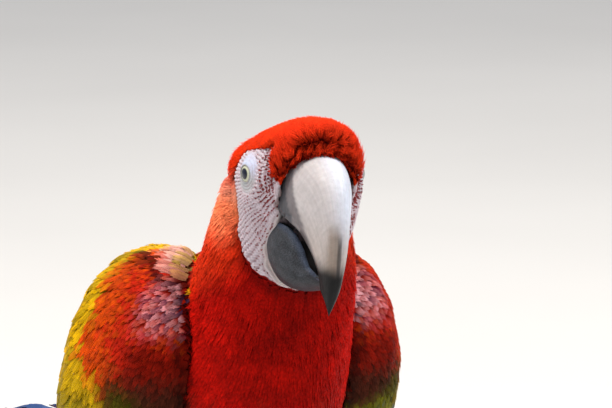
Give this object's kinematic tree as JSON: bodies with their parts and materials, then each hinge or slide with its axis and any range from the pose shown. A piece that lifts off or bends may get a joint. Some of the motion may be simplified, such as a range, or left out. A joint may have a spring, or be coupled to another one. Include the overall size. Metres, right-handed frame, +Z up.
{
  "type": "scarlet macaw model",
  "caption": "Life-size scarlet macaw standing on flat ground and leaning forward, wings a little away from the body, bill ajar, long tail laid back to the ground.",
  "frame": {"origin": "centre of the bird's length and width, on the ground it stands on", "axes": "+Z up; the bird faces -Y and its tail runs to +Y; +X is the bird's left"},
  "size_m": [0.1644, 0.7322, 0.2928],
  "materials": {
    "crown_plumage": "short dense red feathers, bare white skin on the cheeks",
    "red_plumage": "red body feathers",
    "covert_plumage": "overlapping red, orange and yellow wing coverts",
    "flight_plumage": "long blue flight feathers",
    "rump_plumage": "light blue feathers above and below the tail's root",
    "tail_plumage": "long red tail feathers with blue tips",
    "pale_horn": "cream horn with a dark tip",
    "dark_horn": "near-black horn",
    "tongue_flesh": "dark dry skin",
    "eye_gloss": "pale yellow iris, black pupil, wet gloss",
    "leg_scales": "grey-black scales"
  },
  "bodies": {
    "root": {"head": "crown_plumage", "upper_bill": "pale_horn", "lower_bill": "dark_horn", "tongue": "tongue_flesh", "eye_left": "eye_gloss", "eye_right": "eye_gloss", "neck": "red_plumage", "trunk": "red_plumage", "wing_coverts_left": "covert_plumage", "wing_coverts_right": "covert_plumage", "wing_flights_left": "flight_plumage", "wing_flights_right": "flight_plumage", "tail_coverts": "rump_plumage", "tail": "tail_plumage", "thigh_left": "red_plumage", "thigh_right": "red_plumage", "foot_left": "leg_scales", "foot_right": "leg_scales", "toe_inner_front_left": "leg_scales", "toe_inner_front_right": "leg_scales", "claw_inner_front_left": "dark_horn", "claw_inner_front_right": "dark_horn", "toe_outer_front_left": "leg_scales", "toe_outer_front_right": "leg_scales", "claw_outer_front_left": "dark_horn", "claw_outer_front_right": "dark_horn", "toe_outer_rear_left": "leg_scales", "toe_outer_rear_right": "leg_scales", "claw_outer_rear_left": "dark_horn", "claw_outer_rear_right": "dark_horn", "toe_inner_rear_left": "leg_scales", "toe_inner_rear_right": "leg_scales", "claw_inner_rear_left": "dark_horn", "claw_inner_rear_right": "dark_horn"}
  },
  "joints": []
}
